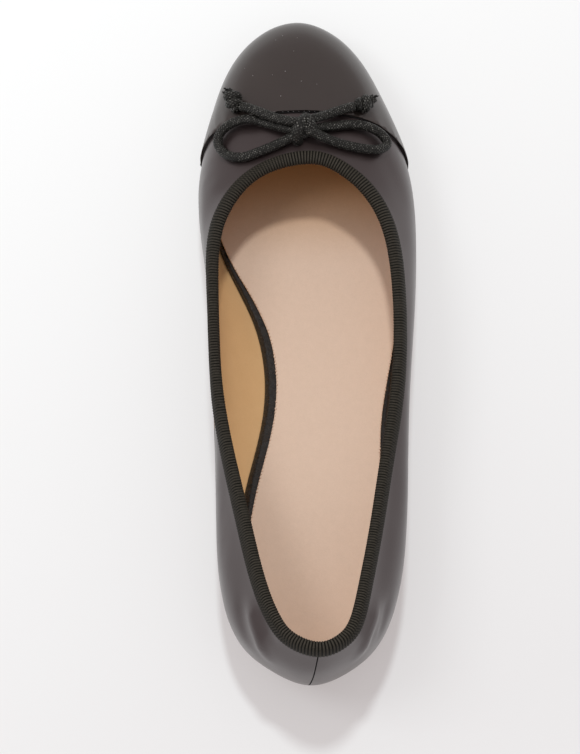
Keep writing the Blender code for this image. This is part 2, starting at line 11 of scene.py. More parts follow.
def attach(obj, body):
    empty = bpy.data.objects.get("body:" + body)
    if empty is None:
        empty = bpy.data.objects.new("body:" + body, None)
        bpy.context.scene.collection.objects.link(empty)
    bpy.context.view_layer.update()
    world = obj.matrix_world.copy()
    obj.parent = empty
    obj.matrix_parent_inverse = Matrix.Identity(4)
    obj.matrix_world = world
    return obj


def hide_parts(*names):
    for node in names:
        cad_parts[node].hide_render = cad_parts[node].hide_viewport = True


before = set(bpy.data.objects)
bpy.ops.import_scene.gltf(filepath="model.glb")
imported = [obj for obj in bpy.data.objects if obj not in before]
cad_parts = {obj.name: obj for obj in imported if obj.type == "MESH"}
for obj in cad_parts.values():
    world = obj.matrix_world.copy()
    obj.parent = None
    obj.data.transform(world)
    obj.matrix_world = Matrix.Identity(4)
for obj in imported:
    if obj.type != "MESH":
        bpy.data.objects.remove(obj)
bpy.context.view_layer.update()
mm = 0.001
print("shoe frame loaded")

# Camera: nearly overhead, a little behind the heel
cameraSetup = {"place": (-6.81, -350.0, 1486.6), "tilt": 13.0, "lens": 192.47}  # mm, degrees, mm

cameraData = bpy.data.cameras.new("overheadCamera")
cameraData.lens = cameraSetup["lens"]
cameraObject = bpy.data.objects.new("overheadCamera", cameraData)
cameraObject.location = Vector(cameraSetup["place"]) * mm
cameraObject.rotation_euler = (math.radians(cameraSetup["tilt"]), 0, 0)
bpy.context.scene.collection.objects.link(cameraObject)
bpy.context.scene.camera = cameraObject
print("camera placed")


def addObject(name, mesh):
    obj = bpy.data.objects.new(name, mesh)
    bpy.context.scene.collection.objects.link(obj)
    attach(obj, "root")
    return obj


def runOf(line):
    # how far along a line each of its points is
    return np.concatenate([[0.0], np.linalg.norm(np.diff(line, axis=0), axis=1).cumsum()])


def smoothLine(points, step, between=24):
    # even steps along a smooth curve through given points
    points = np.array(points, float)
    ends = np.vstack([2 * points[0] - points[1], points, 2 * points[-1] - points[-2]])
    t = np.linspace(0, 1, between, endpoint=False)[:, None]
    line = []
    for a, b, c, d in zip(ends[:-3], ends[1:-2], ends[2:-1], ends[3:]):
        slope, square, cube = (c - a) / 2, a - 2.5 * b + 2 * c - d / 2, (d - a) / 2 + 1.5 * (b - c)
        line.append(b + t * slope + t**2 * square + t**3 * cube)
    line = np.vstack(line + [points[-1:]])
    run = runOf(line)
    places = np.linspace(0, run[-1], 1 + math.ceil(run[-1] / step))
    return np.stack([np.interp(places, run, line[:, k]) for k in range(3)], axis=1)


def pointsOf(mesh):
    points = np.empty(len(mesh.vertices) * 3)
    mesh.vertices.foreach_get("co", points)
    return points.reshape(-1, 3)


def meshFrom(guide):
    # what a guide object's curve or modifiers come to
    return bpy.data.meshes.new_from_object(guide.evaluated_get(bpy.context.evaluated_depsgraph_get()))


def tubeMesh(name, line, radius, resolution, caps):
    # a plain round tube along a line
    data = bpy.data.curves.new(name, "CURVE")
    data.dimensions = "3D"
    data.bevel_depth = radius
    data.bevel_resolution = resolution
    data.use_fill_caps = caps
    spline = data.splines.new("POLY")
    spline.points.add(len(line) - 1)
    for point, place in zip(spline.points, line):
        point.co = (*place, 1.0)
    guide = bpy.data.objects.new(name + "Guide", data)
    bpy.context.scene.collection.objects.link(guide)
    mesh = meshFrom(guide)
    bpy.data.objects.remove(guide)
    mesh.name = name
    mesh.shade_smooth()
    return mesh


def meshOf(name, shape):
    mesh = bpy.data.meshes.new(name)
    shape.to_mesh(mesh)
    shape.free()
    mesh.shade_smooth()
    return mesh


# Bow: a waxed braided cord
cord = {
    "diameter": 0.0034,
    "step": 0.00019,  # between rings of the tube
    "sides": 60,
    "strands": 9,  # in each direction round the cord
    "pitch": 0.0092,  # length of one full turn of a strand
    "relief": 0.00040,
    "under": 0.15,  # height of a strand where it passes below another, of its height above one
    "level": 0.62,  # the height that lies at the cord's own radius
}
bowRoutes = {
    "bow_loop_arch_side": (
        (-0.0076, 0.0786, 0.0420),
        (-0.0122, 0.0802, 0.0402),
        (-0.0174, 0.0822, 0.0387),
        (-0.0228, 0.0833, 0.0384),
        (-0.0284, 0.0827, 0.0354),
        (-0.0326, 0.0799, 0.0334),
        (-0.0339, 0.0757, 0.0328),
        (-0.0318, 0.0713, 0.0354),
        (-0.0280, 0.0688, 0.0381),
        (-0.0234, 0.0684, 0.0399),
        (-0.0186, 0.0698, 0.0413),
        (-0.0134, 0.0718, 0.0418),
        (-0.0090, 0.0738, 0.0423),
        (-0.0068, 0.0749, 0.0427),
    ),
    "bow_loop_outer_side": (
        (0.0027, 0.0790, 0.0412),
        (0.0089, 0.0800, 0.0401),
        (0.0141, 0.0811, 0.0387),
        (0.0194, 0.0814, 0.0373),
        (0.0243, 0.0805, 0.0353),
        (0.0281, 0.0782, 0.0336),
        (0.0296, 0.0751, 0.0331),
        (0.0264, 0.0722, 0.0364),
        (0.0212, 0.0718, 0.0386),
        (0.0156, 0.0723, 0.0404),
        (0.0104, 0.0735, 0.0415),
        (0.0059, 0.0750, 0.0427),
        (0.0026, 0.0762, 0.0439),
    ),
    "bow_end_arch_side": (
        (-0.0066, 0.0806, 0.0452),
        (-0.0120, 0.0823, 0.0434),
        (-0.0173, 0.0849, 0.0416),
        (-0.0222, 0.0876, 0.0386),
        (-0.0250, 0.0888, 0.0368),
    ),
    "bow_end_outer_side": (
        (0.0031, 0.0824, 0.0436),
        (0.0058, 0.0837, 0.0417),
        (0.0096, 0.0855, 0.0400),
        (0.0140, 0.0875, 0.0386),
        (0.0171, 0.0886, 0.0374),
    ),
}
# how the cord runs inside the central knot, before its loop and between its loop and its end
knotStarts = {
    "arch_side": ((-0.0020, 0.0770, 0.0434), (-0.0046, 0.0777, 0.0430)),
    "outer_side": ((-0.0030, 0.0784, 0.0424), (0.0000, 0.0786, 0.0418)),
}
knotTurns = {
    "arch_side": (
        (-0.0042, 0.0761, 0.0432),
        (-0.0024, 0.0776, 0.0438),
        (-0.0024, 0.0793, 0.0444),
        (-0.0042, 0.0804, 0.0449),
    ),
    "outer_side": (
        (0.0002, 0.0771, 0.0443),
        (-0.0012, 0.0785, 0.0446),
        (-0.0011, 0.0802, 0.0446),
        (0.0006, 0.0815, 0.0443),
    ),
}
knotWraps = {
    "front": {
        "radius": 0.00215,
        "route": (
            (-0.0040, 0.0744, 0.0404),
            (-0.0044, 0.0749, 0.0428),
            (-0.0041, 0.0767, 0.0450),
            (-0.0032, 0.0789, 0.0457),
            (-0.0021, 0.0809, 0.0446),
            (-0.0012, 0.0822, 0.0420),
        ),
    },
    "corner": {
        "radius": 0.00180,
        "route": (
            (0.0018, 0.0768, 0.0420),
            (0.0014, 0.0784, 0.0440),
            (0.0007, 0.0803, 0.0450),
            (-0.0004, 0.0819, 0.0443),
            (-0.0014, 0.0829, 0.0424),
        ),
    },
    "under": {
        "radius": 0.00165,
        "route": (
            (-0.0062, 0.0768, 0.0412),
            (-0.0030, 0.0762, 0.0415),
            (0.0004, 0.0776, 0.0420),
            (0.0016, 0.0800, 0.0420),
        ),
    },
}
# each end knot is a short barrel: the cord runs up its core and winds back round it
endKnots = {
    "end_knot_arch_side": {
        "foot": (-0.0270, 0.0886, 0.0352),
        "head": (-0.0290, 0.0944, 0.0345),
        "turns": 2.15,
        "start": 0.6,  # of a turn
        "reach": (0.0014, 0.0024),  # from the core to the winding, at its foot and head
        "cord": 0.00166,
        "tip": (-0.0306, 0.0953, 0.0352),
        "tipWay": (-0.75, 0.75, 0.1),
    },
    "end_knot_outer_side": {
        "foot": (0.0187, 0.0890, 0.0366),
        "head": (0.0232, 0.0911, 0.0352),
        "turns": 1.75,
        "start": 0.15,
        "reach": (0.0017, 0.0019),
        "cord": 0.00162,
        "tip": (0.0246, 0.0926, 0.0350),
        "tipWay": (0.8, 0.6, 0.05),
    },
}
winding = {
    "stations": 90,
    "tails": (0.0010, 0.0004),  # the core below the foot and above it, before the winding starts
    "rounded": 0.35,  # how round the barrel's ends are: 0 is square
    "ends": 0.03,  # share of its length where it rounds no further
}
fray = {
    "threads": 44,
    "seeds": (5, 6),
    "spread": 0.0011,
    "bend": 0.0005,
    "length": (0.0002, 0.0007),
    "root": 0.0006,
    "thickness": 0.00017,  # radius of a thread
}


def braidedTube(name, line, radius):
    # a tube along the line, its wall raised into the strands of a braid
    mesh = tubeMesh(name, line, radius, (cord["sides"] - 4) // 2, False)
    sides = len(mesh.vertices) // len(line)
    points = pointsOf(mesh).reshape(len(line), sides, 3)
    out = points - points.mean(axis=1, keepdims=True)
    out /= np.linalg.norm(out, axis=2, keepdims=True)
    turns = cord["strands"] * np.arange(sides)[None, :] / sides
    travel = cord["strands"] * runOf(line)[:, None] / cord["pitch"]
    height = np.zeros((len(line), sides))
    for one, other, lag in ((turns + travel, travel - turns, 0), (travel - turns, turns + travel, 1)):
        crown = np.sqrt(np.abs(np.sin(np.pi * one)))
        over = 0.5 + 0.5 * np.cos(np.pi * (other - 0.5 + np.floor(one) + lag))
        height = np.maximum(height, crown * (cord["under"] + (1 - cord["under"]) * over))
    points = points + out * ((height - cord["level"]) * cord["relief"])[:, :, None]
    mesh.vertices.foreach_set("co", points.ravel())
    mesh.attributes.new("relief", "FLOAT", "POINT").data.foreach_set("value", height.ravel())
    shape = bmesh.new()
    shape.from_mesh(mesh)
    bmesh.ops.holes_fill(shape, edges=[e for e in shape.edges if e.is_boundary])
    bmesh.ops.recalc_face_normals(shape, faces=shape.faces)
    shape.to_mesh(mesh)
    shape.free()
    mesh.shade_smooth()
    return mesh


def joinMeshes(name, meshes):
    shape = bmesh.new()
    for mesh in meshes:
        shape.from_mesh(mesh)
    return meshOf(name, shape)


def frayedTip(name, tip, way, seed):
    # short loose threads at the cut end of the cord
    draws = np.random.default_rng(seed)
    way = Vector(way).normalized()
    threads = []
    while len(threads) < fray["threads"]:
        start = Vector(tip) + Vector(draws.uniform(-1, 1, 3)) * fray["spread"]
        bend = Vector(draws.uniform(-1, 1, 3)) * fray["bend"]
        length = draws.uniform(*fray["length"])
        root, middle = start - way * fray["root"], start + way * length * 0.5 + bend * 0.3
        line = [root, middle, start + way * length + bend]
        threads.append(tubeMesh(name, line, fray["thickness"], 1, True))
    return threads


def barrelKnot(name, knot):
    foot, head = Vector(knot["foot"]), Vector(knot["head"])
    axis = (head - foot).normalized()
    side = axis.cross(Vector((0, 0, 1))).normalized()
    lift = side.cross(axis)
    line = [foot - axis * winding["tails"][0], foot + axis * winding["tails"][1]]
    for share in np.linspace(0, 1, winding["stations"]):
        angle = 2 * math.pi * (knot["start"] + knot["turns"] * share)
        reach = knot["reach"][0] + (knot["reach"][1] - knot["reach"][0]) * share
        along = min(max(share, winding["ends"]), 1 - winding["ends"])
        reach *= math.sin(math.pi * along) ** winding["rounded"]
        line.append(foot.lerp(head, share) + (side * math.cos(angle) + lift * math.sin(angle)) * reach)
    line += [head, Vector(knot["tip"])]
    return braidedTube(name, smoothLine([tuple(p) for p in line], cord["step"]), knot["cord"])


cordPieces = {}
for side in ("arch_side", "outer_side"):
    route = knotStarts[side] + bowRoutes["bow_loop_" + side] + knotTurns[side] + bowRoutes["bow_end_" + side]
    line = smoothLine(route, cord["step"])
    piece = addObject("bowCord_" + side, braidedTube("bowCord_" + side, line, cord["diameter"] / 2))
    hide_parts("bow_loop_" + side, "bow_end_" + side)
    cordPieces[side] = (piece, line)

wraps = [
    braidedTube(f"knotWrap_{name}", smoothLine(wrap["route"], cord["step"]), wrap["radius"])
    for name, wrap in knotWraps.items()
]
centreKnot = addObject("bowCentreKnot", joinMeshes("bowCentreKnot", wraps))
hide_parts("bow_knot")
knotPieces = {}
for seed, (name, knot) in zip(fray["seeds"], endKnots.items()):
    tips = frayedTip(name, knot["tip"], knot["tipWay"], seed)
    piece = addObject(name + "_tied", joinMeshes(name, [barrelKnot(name, knot)] + tips))
    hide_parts(name)
    knotPieces[name] = piece
for side in ("arch_side", "outer_side"):
    piece, line = cordPieces[side]
    float(runOf(line)[-1])
print("bow tied")


def mergedCopy(node, sharp=48, crease=0.85):
    # a node's mesh with its triangles paired into quads, creased where it turns by more than "sharp" degrees
    shape = bmesh.new()
    shape.from_mesh(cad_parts[node].data)
    bmesh.ops.remove_doubles(shape, verts=shape.verts, dist=1e-6)
    bmesh.ops.join_triangles(
        shape,
        faces=shape.faces,
        angle_face_threshold=math.radians(50),
        angle_shape_threshold=math.radians(70),
    )
    bmesh.ops.recalc_face_normals(shape, faces=shape.faces)
    creases = shape.edges.layers.float.new("crease_edge")
    for edge in shape.edges:
        if len(edge.link_faces) == 2 and edge.calc_face_angle(0) > math.radians(sharp):
            edge[creases] = crease
    return shape


def refined(name, shape, levels, rounds=2):
    # smoothing shrinks a shape, so its cage first grows by as much
    mesh = meshOf(name, shape)
    guide = bpy.data.objects.new(name + "Guide", mesh)
    bpy.context.scene.collection.objects.link(guide)
    smooth = guide.modifiers.new("smooth", "SUBSURF")
    smooth.levels = smooth.render_levels = levels
    wanted = pointsOf(mesh)
    for _ in range(rounds):
        shrunk = pointsOf(meshFrom(guide))[: len(wanted)]
        mesh.vertices.foreach_set("co", (pointsOf(mesh) + wanted - shrunk).ravel())
        mesh.update()
    fine = meshFrom(guide)
    bpy.data.objects.remove(guide)
    fine.name = name
    fine.shade_smooth()
    return fine


footAxis = {"x": 0.002, "z": 0.022, "reach": 0.085}  # a line through the foot's middle, from heel to ball


def facesOut(points, normals):
    # true where a normal looks away from the foot's own middle line
    away = points - np.array([footAxis["x"], 0, footAxis["z"]])
    away[:, 1] = points[:, 1] - np.clip(points[:, 1], -footAxis["reach"], footAxis["reach"])
    return (normals * away).sum(axis=1) > 0


# soft folds and ridges of the leather, in mm: width, height and a short line on its outer face
upperFolds = (
    (2.5, 1.15, ((-21, -102, 48), (-20, -108, 47), (-18, -114, 46), (-15, -120, 41))),
    (2.6, -0.75, ((-17, -103, 54), (-15, -110, 53), (-13, -115, 52))),
    (2.8, -0.60, ((-25, -99, 44), (-24, -106, 42), (-21, -114, 40))),
    (2.5, 1.15, ((25, -102, 46), (23, -108, 47), (21, -114, 47), (18, -120, 42))),
    (2.4, -0.75, ((21, -103, 54), (19, -109, 54), (17, -115, 54))),
    (2.8, -0.60, ((29, -99, 40), (27, -106, 40), (25, -112, 38))),
    (5.0, -0.30, ((-31, -50, 38), (-31, -62, 37), (-31, -74, 36), (-29, -86, 36))),
    (5.0, -0.35, ((34, -38, 33), (33, -50, 34), (32, -62, 35), (31, -74, 36))),
    (4.5, -0.30, ((-26, 59, 39), (-35, 53, 34), (-39, 42, 30))),
    (4.5, -0.25, ((28, 72, 32), (33, 61, 31), (37, 50, 29))),
    (4.0, -0.22, ((-14, 72, 40), (0, 74, 41), (14, 73, 40))),
)
folding = {
    "fade": 0.2,  # share of its line over which each end of a fold fades
    "endHeight": 0.35,  # and the share of its height that it fades to
    "near": 0.06,  # no fold reaches further than this from its middle
}
backSeam = {  # mm
    "top": (3.4, 59.0),
    "bottom": (0.7, 33.0),
    "behind": -100.0,
    "lip": 0.75,
    "edge": 0.24,
    "depth": 0.6,
    "outer": -0.1,  # the seam sinks only where the leather faces back this much
    "raw": 0.2,  # and is left raw up to where it faces forward this much
}


def foldLeather(mesh, folds):
    points = pointsOf(mesh)
    normals = np.empty(len(points) * 3)
    mesh.vertex_normals.foreach_get("vector", normals)
    normals = normals.reshape(-1, 3)
    outer = facesOut(points, normals)
    lift = np.zeros(len(points))
    for width, height, route in folds:
        line = smoothLine(np.array(route) * mm, mm)
        share = np.linspace(0, 1, len(line))
        near = np.flatnonzero(np.linalg.norm(points - line.mean(axis=0), axis=1) < folding["near"])
        gaps = np.linalg.norm(points[near, None] - line[None], axis=2)
        where = share[gaps.argmin(axis=1)]
        fade = np.clip(np.minimum(where, 1 - where) / folding["fade"], 0, 1)
        fade = folding["endHeight"] + (1 - folding["endHeight"]) * fade
        lift[near] += height * mm * np.exp(-((gaps.min(axis=1) / (width * mm)) ** 2)) * fade
    points += normals * (lift * outer)[:, None]
    mesh.vertices.foreach_set("co", points.ravel())
    mesh.update()


def cutBackSeam(mesh):
    # five cuts down the back: the outer ones hold the leather, the middle one sinks between two edges
    shape = bmesh.new()
    shape.from_mesh(mesh)
    top = Vector((backSeam["top"][0], backSeam["behind"], backSeam["top"][1])) * mm
    bottom = Vector((backSeam["bottom"][0], backSeam["behind"], backSeam["bottom"][1])) * mm
    across = (top - bottom).cross(Vector((0, 1, 0))).normalized()
    for shift in (-backSeam["lip"], backSeam["lip"], -backSeam["edge"], backSeam["edge"], 0.0):
        behind = [f for f in shape.faces if f.calc_center_median().y < backSeam["behind"] * mm]
        part = dict.fromkeys(g for f in behind for g in [f, *f.edges, *f.verts])
        cut = bmesh.ops.bisect_plane(
            shape, geom=list(part), dist=1e-7, plane_co=top + across * shift * mm, plane_no=across
        )
    shape.normal_update()
    for vert in [g for g in cut["geom_cut"] if isinstance(g, bmesh.types.BMVert)]:
        if vert.normal.y < backSeam["outer"]:
            vert.co -= vert.normal * backSeam["depth"] * mm
    shape.to_mesh(mesh)
    shape.free()
    mesh.shade_smooth()
    return top, across


upperMesh = refined("upperSkin", mergedCopy("upper"), 2)
foldLeather(upperMesh, upperFolds)
seamTop, seamAcross = cutBackSeam(upperMesh)
upperPiece = addObject("upperSkin", upperMesh)
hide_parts("upper")
print("upper", len(upperMesh.polygons), "faces")

capMesh = refined("toeCapSkin", mergedCopy("toe_cap", sharp=40, crease=0.7), 2)
capPiece = addObject("toeCapSkin", capMesh)
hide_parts("toe_cap")
print("toe cap", len(capMesh.polygons), "faces")

# Collar tape: its ribs stand square to a line through its middle, once round the collar
tape = {
    "rib": 0.00106,
    "ribHeight": 0.00030,
    "ribLevel": 0.6,  # the share of a rib that stands below the tape's own face
    "ribRounding": 0.8,
    "cuts": 13,
    "stations": 150,
    "smoothings": 10,
    "step": 0.0001,
    "middle": (0.0, -0.025),
    "stretch": 3.2,  # how many times longer than wide the collar is taken to be
}


def aroundCollar(point):
    return math.atan2((point[1] - tape["middle"][1]) / tape["stretch"], point[0] - tape["middle"][0])


def middleLine(points):
    # the mean of all points in each direction from the collar's middle, then even small steps
    x, y = points[:, 0] - tape["middle"][0], (points[:, 1] - tape["middle"][1]) / tape["stretch"]
    bins = ((np.arctan2(y, x) / (2 * np.pi) + 0.5) * tape["stations"]).astype(int) % tape["stations"]
    line = np.array([points[bins == k].mean(axis=0) for k in range(tape["stations"])])
    for _ in range(tape["smoothings"]):
        line = (np.roll(line, 1, axis=0) + 2 * line + np.roll(line, -1, axis=0)) / 4
    return smoothLine(np.vstack([line, line[:1]]), tape["step"])


def raiseRibs(mesh):
    line = middleLine(pointsOf(mesh))
    tree = KDTree(len(line))
    for number, place in enumerate(line):
        tree.insert(place, number)
    tree.balance()
    step = np.linalg.norm(line[1] - line[0])
    length = step * len(line)
    ribs = round(length / tape["rib"])
    ways = np.roll(line, -1, axis=0) - np.roll(line, 1, axis=0)
    ways /= np.linalg.norm(ways, axis=1)[:, None]

    def along(place):
        near = tree.find(place)[1]
        return near * step + float(np.dot(np.array(place) - line[near], ways[near]))

    shape = bmesh.new()
    shape.from_mesh(mesh)
    where = {vert: along(vert.co) for vert in shape.verts}
    lengthwise = []
    for edge in shape.edges:
        a, b = edge.verts
        gap = abs(where[a] - where[b])
        if min(gap, length - gap) > 0.6 * edge.calc_length():
            lengthwise.append(edge)
    bmesh.ops.subdivide_edges(shape, edges=lengthwise, cuts=tape["cuts"], use_grid_fill=True)
    shape.normal_update()
    relief = shape.verts.layers.float.new("relief")
    normals = [vert.normal.copy() for vert in shape.verts]
    for vert, normal in zip(shape.verts, normals):
        vert[relief] = abs(math.sin(math.pi * ribs * along(vert.co) / length)) ** tape["ribRounding"]
        vert.co += normal * (vert[relief] - tape["ribLevel"]) * tape["ribHeight"]
    shape.to_mesh(mesh)
    shape.free()
    mesh.shade_smooth()
    return line


tapeMesh = refined("collarTapeRibbed", mergedCopy("collar_tape", crease=0.3), 1)
tapeLine = raiseRibs(tapeMesh)
tapePiece = addObject("collarTapeRibbed", tapeMesh)
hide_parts("collar_tape")
print("tape", len(tapeMesh.polygons), "faces")

# Stitches that hold the tape, in the leather just outside it
tapeStitch = {
    "step": 0.0023,
    "length": (0.0015, 0.0019),
    "thread": (0.00036, 0.00044),
    "seed": 1,
    "below": 0.0004,
    "shortEdge": 0.00095,  # only at the tape's corners are its edges shorter
    "fromMiddle": 0.0026,  # the tape's low corner is further from its middle line
}


def treeOf(mesh):
    return BVHTree.FromPolygons([v.co for v in mesh.vertices], [p.vertices for p in mesh.polygons])


def beadRow(name, line, skin, look, proud=0.2):
    # stretched beads along a line, laid on the skin nearest to them
    tree = treeOf(skin)
    draws = np.random.default_rng(look["seed"])
    shape = bmesh.new()
    for here, after in zip(line[:-1], line[1:]):
        place, normal = tree.find_nearest(Vector((here + after) / 2))[:2]
        way = Vector(after - here).normalized()
        side = normal.cross(way).normalized()
        turn = Matrix((way, side, normal)).transposed().to_4x4()
        thread = draws.uniform(*look["thread"])
        size = Matrix.Diagonal((draws.uniform(*look["length"]) / 2, thread / 2, thread / 2, 1))
        bmesh.ops.create_icosphere(
            shape,
            subdivisions=1,
            radius=1.0,
            matrix=Matrix.Translation(place + normal * thread * proud) @ turn @ size,
        )
    return meshOf(name, shape)


def fromMiddle(place):
    return (Vector(place).xy - Vector(tape["middle"])).length


tapeMarks = tapeLine[::20]


def isLowCorner(vert):
    # true at the foot of the tape's outer face
    nearest = min(tapeMarks, key=lambda p: (Vector(p) - vert.co).length)
    return (
        any(e.calc_length() < tapeStitch["shortEdge"] for e in vert.link_edges)
        and (Vector(nearest) - vert.co).length > tapeStitch["fromMiddle"]
        and fromMiddle(vert.co) > fromMiddle(nearest)
    )


tapeCage = mergedCopy("collar_tape", crease=0.3)
lowCorners = sorted([v.co.copy() for v in tapeCage.verts if isLowCorner(v)], key=aroundCollar)
tapeCage.free()
lowLine = np.array([p[:] for p in lowCorners])
lowLine = (np.roll(lowLine, 1, axis=0) + lowLine) / 2
stitchLine = smoothLine(np.vstack([lowLine, lowLine[:1]]), tapeStitch["step"])
stitchLine[:, 2] -= tapeStitch["below"]
stitchPiece = addObject("tapeStitches", beadRow("tapeStitches", stitchLine, upperMesh, tapeStitch))

# The cap's seam: painted shade, a dark cord in the corner between its cut edge and the vamp, where the
# seam's gap lies in shade
capSeam = {
    "thread": 0.00030,  # radius
    "step": 0.0004,
    "backOf": -0.00022,
    "before": 0.098,  # the cut edge lies behind this
    "back": -0.4,  # how much a face of the cut edge looks back
    "square": 0.5,  # how far it may lean from square to the vamp
    "foot": 0.0007,  # its foot is this close to the vamp
    "spacing": 0.0015,
    "dark": 0.00055,  # how high up from the vamp the cut edge is painted dark, as shade in the seam's corner
    "turnHeight": 0.002,  # the foot's points are taken in order round this height
}
vampTree = treeOf(upperMesh)


def cutEdge(normal, center):
    # a face of the cap's cut edge: it faces back, square to the vamp under it
    if normal.y > capSeam["back"] or center.y > capSeam["before"]:
        return False
    return abs(normal.dot(vampTree.find_nearest(center)[1])) < capSeam["square"]


def vampGap(place):
    return vampTree.find_nearest(place)[3]


capCage = mergedCopy("toe_cap", sharp=40)
cutFaces = [f for f in capCage.faces if cutEdge(f.normal, f.calc_center_median())]
cutCorners = dict.fromkeys(v for f in cutFaces for v in f.verts)
footPoints = [v.co.copy() for v in cutCorners if vampGap(v.co) < capSeam["foot"]]
capCage.free()
footPoints.sort(key=lambda p: math.atan2(p.z - capSeam["turnHeight"], p.x))
seamPoints = [footPoints[0]]
for point in footPoints[1:]:
    if (point - seamPoints[-1]).length > capSeam["spacing"]:
        seamPoints.append(point)
seamLine = smoothLine([p[:] for p in seamPoints], capSeam["step"])
seamLine[:, 1] += capSeam["backOf"]
print("cap seam", len(seamPoints), "points, length", round(runOf(seamLine)[-1], 4))
capSeamShadeMesh = tubeMesh("capSeamShadeCord", seamLine, capSeam["thread"], 2, True)
capSeamShade = addObject("capSeamShadeCord", capSeamShadeMesh)

# Painted glints: a few pale beads near the seam's middle, standing for highlights on its edge
seamGlints = {
    "step": 0.0021,
    "length": (0.0002, 0.0005),
    "thread": (0.00012, 0.00026),
    "seed": 4,
    "middle": -0.003,
    "reach": 0.0085,  # each way from the middle
    "forward": 0.0002,
    "lift": 0.00033,
    "rest": 0.0004,  # they lie on a tube of this radius along the seam
}
middleRun = seamLine[np.abs(seamLine[:, 0] - seamGlints["middle"]) < seamGlints["reach"]]
middleRun = middleRun + np.array([0, seamGlints["forward"], seamGlints["lift"]])
glintLine = smoothLine(middleRun[::4], seamGlints["step"])
glintRest = tubeMesh("glintRest", seamLine, seamGlints["rest"], 2, True)
glintPiece = addObject("capSeamGlints", beadRow("capSeamGlints", glintLine, glintRest, seamGlints))

# Some dust on the cap, each grain between two of these places, in mm
dust = {
    "length": (0.0002, 0.0005),
    "thread": (0.00014, 0.00026),
    "seed": 12,
    "route": (
        (-3, 125, 25),
        (-17, 118, 29),
        (-9, 122, 28),
        (1, 119, 31),
        (-12, 109, 35),
        (-6, 101, 38),
        (-22, 106, 33),
        (-29, 110, 27),
        (-14, 97, 37),
        (9, 103, 36),
        (-2, 95, 38),
        (-19, 92, 36),
    ),
}
dustPiece = addObject("capDust", beadRow("capDust", np.array(dust["route"]) * mm, capMesh, dust))
print("seams laid")

footbedMesh = refined("footbedWrapped", mergedCopy("footbed"), 2)
footbedPiece = addObject("footbedWrapped", footbedMesh)
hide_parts("footbed")
sockMesh = refined("sockLining", mergedCopy("sock"), 3)
sockPiece = addObject("sockLining", sockMesh)
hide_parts("sock")

# The sock's cut edge is finely pinked
sockTeeth = {
    "step": 0.0014,
    "length": (0.0006, 0.0012),
    "thread": (0.0004, 0.0009),
    "seed": 9,
    "sharp": 1.0,  # the edge is where the faces turn by more than this, in radians
    "upward": 0.3,  # and look up by more than this between them
}
sockCage = mergedCopy("sock")
sockEdge = {
    v.co.copy().freeze()
    for e in sockCage.edges
    if e.calc_face_angle(0.0) > sockTeeth["sharp"]
    and sum(f.normal.z for f in e.link_faces) > sockTeeth["upward"]
    for v in e.verts
}
sockCage.free()
walk = [min(sockEdge, key=lambda p: p.y)]
while len(sockEdge) > 1:
    sockEdge.remove(walk[-1])
    walk.append(min(sockEdge, key=lambda p: (p - walk[-1]).length))
teethLine = smoothLine([p[:] for p in walk + walk[:1]], sockTeeth["step"])
teethPiece = addObject("sockPinkedEdge", beadRow("sockPinkedEdge", teethLine, sockMesh, sockTeeth))
print("inside made")

soleMesh = refined("outsolePlate", mergedCopy("outsole", sharp=35, crease=1.0), 2)
solePiece = addObject("outsolePlate", soleMesh)
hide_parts("outsole")
heelMesh = refined("heelBlock", mergedCopy("heel", sharp=35, crease=1.0), 2)
heelPiece = addObject("heelBlock", heelMesh)
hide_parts("heel")
print("sole made")


# Materials
def nodesOf(name, color, roughness):
    material = bpy.data.materials.new(name)
    material.use_nodes = True
    tree = material.node_tree
    shader = tree.nodes["Principled BSDF"]
    shader.inputs["Base Color"].default_value = (*color, 1)
    shader.inputs["Roughness"].default_value = roughness
    return material, tree, shader


def addNode(tree, kind, **values):
    node = tree.nodes.new(kind)
    for key, value in values.items():
        if hasattr(node, key):
            setattr(node, key, value)
        else:
            node.inputs[key.replace("_", " ")].default_value = value
    return node


def newGroup(name, inputs, outputs):
    group = bpy.data.node_groups.new(name, "ShaderNodeTree")
    for label, kind, value in inputs:
        socket = group.interface.new_socket(label, in_out="INPUT", socket_type=kind)
        if value is not None:
            socket.default_value = value
    for label, kind in outputs:
        group.interface.new_socket(label, in_out="OUTPUT", socket_type=kind)
    return group, group.nodes.new("NodeGroupInput"), group.nodes.new("NodeGroupOutput")


def makeGrainGroup(finer=2.3):
    group, into, out = newGroup(
        "leatherGrain",
        [
            ("Vector", "NodeSocketVector", None),
            ("Grain", "NodeSocketFloat", 1100.0),
            ("Mottle Scale", "NodeSocketFloat", 45.0),
        ],
        [("Height", "NodeSocketFloat"), ("Mottle", "NodeSocketFloat"), ("Fleck", "NodeSocketFloat")],
    )
    cells = addNode(group, "ShaderNodeTexVoronoi", feature="F1")
    fine = addNode(group, "ShaderNodeTexNoise", Detail=3.0)
    mottle = addNode(group, "ShaderNodeTexNoise", Detail=4.0)
    smaller = addNode(group, "ShaderNodeMath", operation="MULTIPLY")
    smaller.inputs[1].default_value = finer
    mix = addNode(group, "ShaderNodeMath", operation="ADD")
    wire = group.links.new
    for node in (cells, fine, mottle):
        wire(into.outputs["Vector"], node.inputs["Vector"])
    wire(into.outputs["Grain"], cells.inputs["Scale"])
    wire(into.outputs["Grain"], smaller.inputs[0])
    wire(smaller.outputs[0], fine.inputs["Scale"])
    wire(into.outputs["Mottle Scale"], mottle.inputs["Scale"])
    wire(cells.outputs["Distance"], mix.inputs[0])
    wire(fine.outputs["Fac"], mix.inputs[1])
    wire(mix.outputs[0], out.inputs["Height"])
    wire(mottle.outputs["Fac"], out.inputs["Mottle"])
    wire(fine.outputs["Fac"], out.inputs["Fleck"])
    return group


grainGroup = makeGrainGroup()
mottleRange = (0.3, 0.7)  # the noise values between which the roughness changes
bumpDistance = 0.0001


